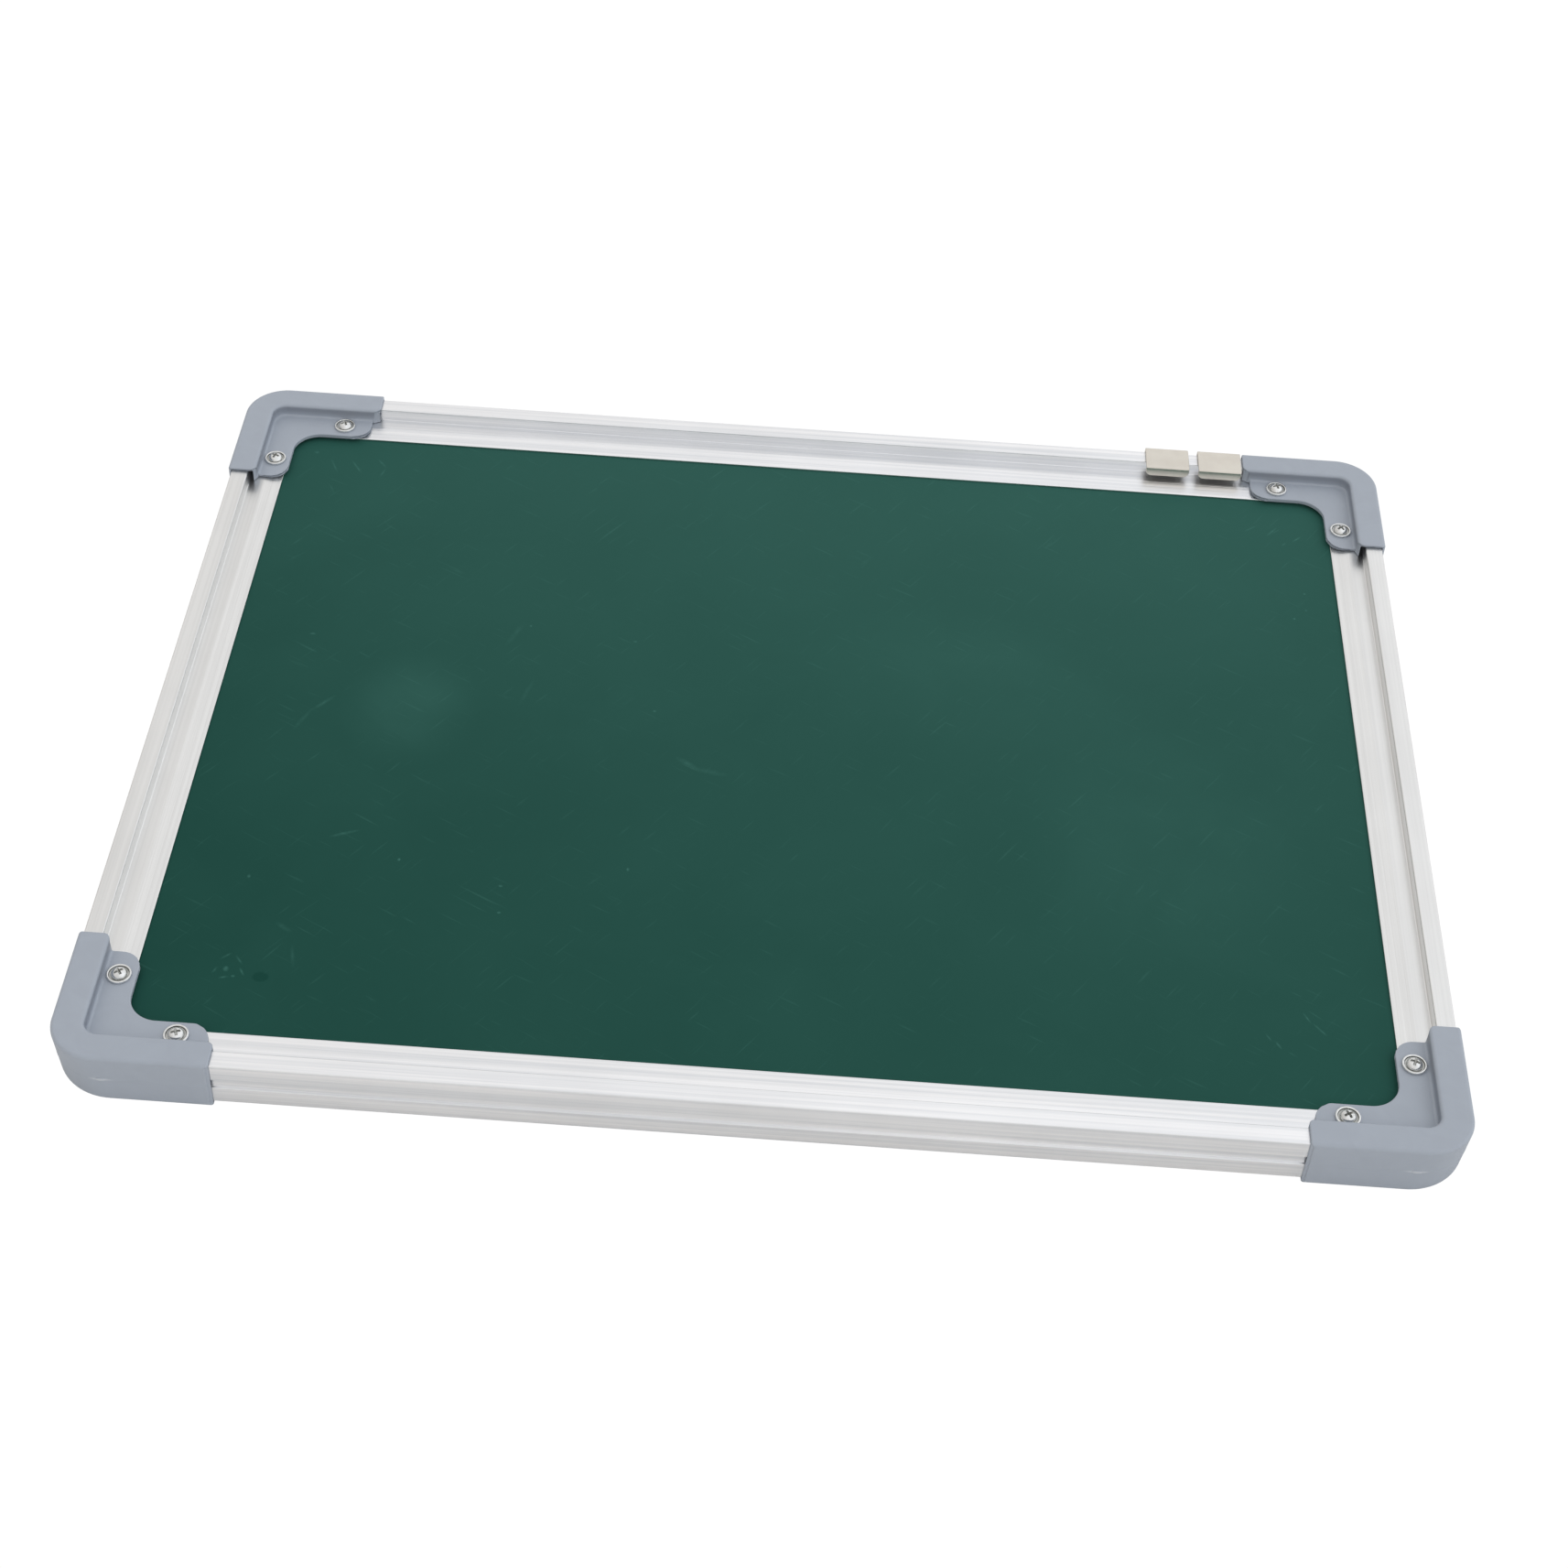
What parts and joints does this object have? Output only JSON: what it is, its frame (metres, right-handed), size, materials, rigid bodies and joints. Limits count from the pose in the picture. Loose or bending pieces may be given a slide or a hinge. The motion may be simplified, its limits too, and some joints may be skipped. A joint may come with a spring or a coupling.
{
  "type": "framed writing board",
  "caption": "Small framed green writing board: channel rails round a thin panel, screwed grey corner mouldings and clips that slide along the top rail.",
  "frame": {"origin": "centre of the board's outline, on the plane that it lies on, which touches the undersides of the corner mouldings", "axes": "+X along the long rails to the right, +Y from the bottom rail to the top rail, +Z out of the green writing face"},
  "size_m": [0.4024, 0.3122, 0.0179],
  "materials": {
    "aluminium": "satin anodised extrusion",
    "grey_plastic": "fine moulded satin",
    "green_sheet": "satin green coating",
    "core_fibreboard": "raw fibreboard",
    "white_sheet": "gloss white coating",
    "zinc_steel": "bright zinc plating",
    "nickel_steel": "satin nickel plating"
  },
  "bodies": {
    "frame": {"rail_bottom": "aluminium", "rail_top": "aluminium", "rail_left": "aluminium", "rail_right": "aluminium", "corner_bottom_left": "grey_plastic", "corner_bottom_right": "grey_plastic", "corner_top_right": "grey_plastic", "corner_top_left": "grey_plastic", "writing_sheet": "green_sheet", "core_board": "core_fibreboard", "rear_sheet": "white_sheet", "screw_front_bottom_left_long_side": "zinc_steel", "screw_rear_bottom_left_long_side": "zinc_steel", "screw_front_bottom_left_short_side": "zinc_steel", "screw_rear_bottom_left_short_side": "zinc_steel", "screw_front_bottom_right_long_side": "zinc_steel", "screw_rear_bottom_right_long_side": "zinc_steel", "screw_front_bottom_right_short_side": "zinc_steel", "screw_rear_bottom_right_short_side": "zinc_steel", "screw_front_top_right_long_side": "zinc_steel", "screw_rear_top_right_long_side": "zinc_steel", "screw_front_top_right_short_side": "zinc_steel", "screw_rear_top_right_short_side": "zinc_steel", "screw_front_top_left_long_side": "zinc_steel", "screw_rear_top_left_long_side": "zinc_steel", "screw_front_top_left_short_side": "zinc_steel", "screw_rear_top_left_short_side": "zinc_steel"},
    "clip_left": {"hanging_clip_left": "nickel_steel"},
    "clip_right": {"hanging_clip_right": "nickel_steel"}
  },
  "joints": [
    {"name": "clip_left_slide", "type": "slide", "parent": "frame", "child": "clip_left", "axis": [1, 0, 0], "range_m": [-0.273, 0]},
    {"name": "clip_right_slide", "type": "slide", "parent": "frame", "child": "clip_right", "axis": [1, 0, 0], "range_m": [-0.003, 0.0003]}
  ]
}
